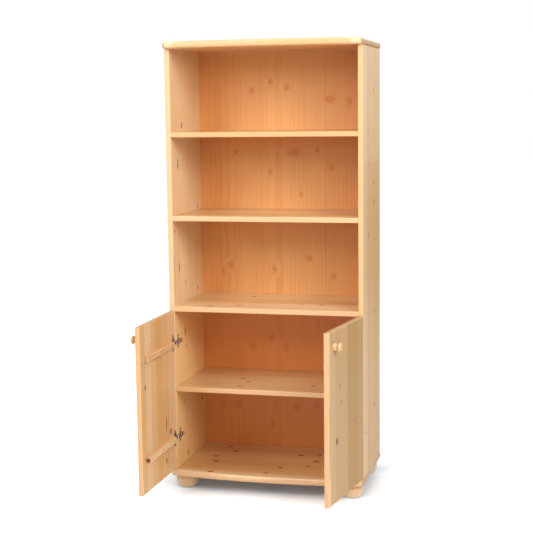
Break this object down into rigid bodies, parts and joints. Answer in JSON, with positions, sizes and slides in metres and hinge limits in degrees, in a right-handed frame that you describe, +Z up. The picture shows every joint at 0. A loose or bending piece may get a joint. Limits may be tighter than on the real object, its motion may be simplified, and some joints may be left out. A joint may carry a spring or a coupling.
{
  "type": "bookcase with cabinet doors",
  "caption": "Tall free-standing pine bookcase: open shelves over a cabinet with swinging doors on cup hinges, a bow-fronted top and base, and turned bun feet.",
  "frame": {"origin": "on the floor under the middle of the carcass, at half the side panels' width and depth", "axes": "+Z up, +X to the right seen from the front, the front faces -Y"},
  "size_m": [0.8323, 0.8066, 1.8],
  "materials": {
    "pine_board": "satin lacquer",
    "turned_pine": "satin lacquer",
    "dowel_wood": "bare",
    "back_sheet": "satin lacquer",
    "nickel_steel": "nickel plated",
    "zinc_screw": "zinc plated"
  },
  "bodies": {
    "carcass": {"back_panel": "back_sheet", "back_panel_nails": "zinc_screw", "base_board": "pine_board", "base_dowels": "dowel_wood", "cabinet_shelf": "pine_board", "cabinet_shelf_dowels": "dowel_wood", "cabinet_top_shelf": "pine_board", "cabinet_top_shelf_dowels": "dowel_wood", "foot_studs": "zinc_screw", "front_left_foot": "turned_pine", "front_right_foot": "turned_pine", "left_arm_screws": "zinc_screw", "left_lower_hinge_arm": "nickel_steel", "left_lower_hinge_plate": "nickel_steel", "left_plate_screws": "zinc_screw", "left_side_panel": "pine_board", "left_upper_hinge_arm": "nickel_steel", "left_upper_hinge_plate": "nickel_steel", "middle_shelf": "pine_board", "middle_shelf_dowels": "dowel_wood", "rear_left_foot": "turned_pine", "rear_right_foot": "turned_pine", "right_arm_screws": "zinc_screw", "right_lower_hinge_arm": "nickel_steel", "right_lower_hinge_plate": "nickel_steel", "right_plate_screws": "zinc_screw", "right_side_panel": "pine_board", "right_upper_hinge_arm": "nickel_steel", "right_upper_hinge_plate": "nickel_steel", "top_board": "pine_board", "top_dowels": "dowel_wood", "upper_shelf": "pine_board", "upper_shelf_dowels": "dowel_wood"},
    "left_door": {"left_batten_screws": "zinc_screw", "left_cup_screws": "zinc_screw", "left_door_panel": "pine_board", "left_hinge_pins": "nickel_steel", "left_knob": "turned_pine", "left_knob_screw": "zinc_screw", "left_lower_batten": "pine_board", "left_lower_hinge_cup": "nickel_steel", "left_upper_batten": "pine_board", "left_upper_hinge_cup": "nickel_steel"},
    "right_door": {"right_batten_screws": "zinc_screw", "right_cup_screws": "zinc_screw", "right_door_panel": "pine_board", "right_hinge_pins": "nickel_steel", "right_knob": "turned_pine", "right_knob_screw": "zinc_screw", "right_lower_batten": "pine_board", "right_lower_hinge_cup": "nickel_steel", "right_upper_batten": "pine_board", "right_upper_hinge_cup": "nickel_steel"}
  },
  "joints": [
    {"name": "left_door_hinge", "type": "hinge", "parent": "carcass", "child": "left_door", "pos_m": [-0.385, -0.218, 0.41], "axis": [0, 0, -1], "range_deg": [-91, 9]},
    {"name": "right_door_hinge", "type": "hinge", "parent": "carcass", "child": "right_door", "pos_m": [0.385, -0.218, 0.41], "axis": [0, 0, 1], "range_deg": [-81, 19]}
  ]
}
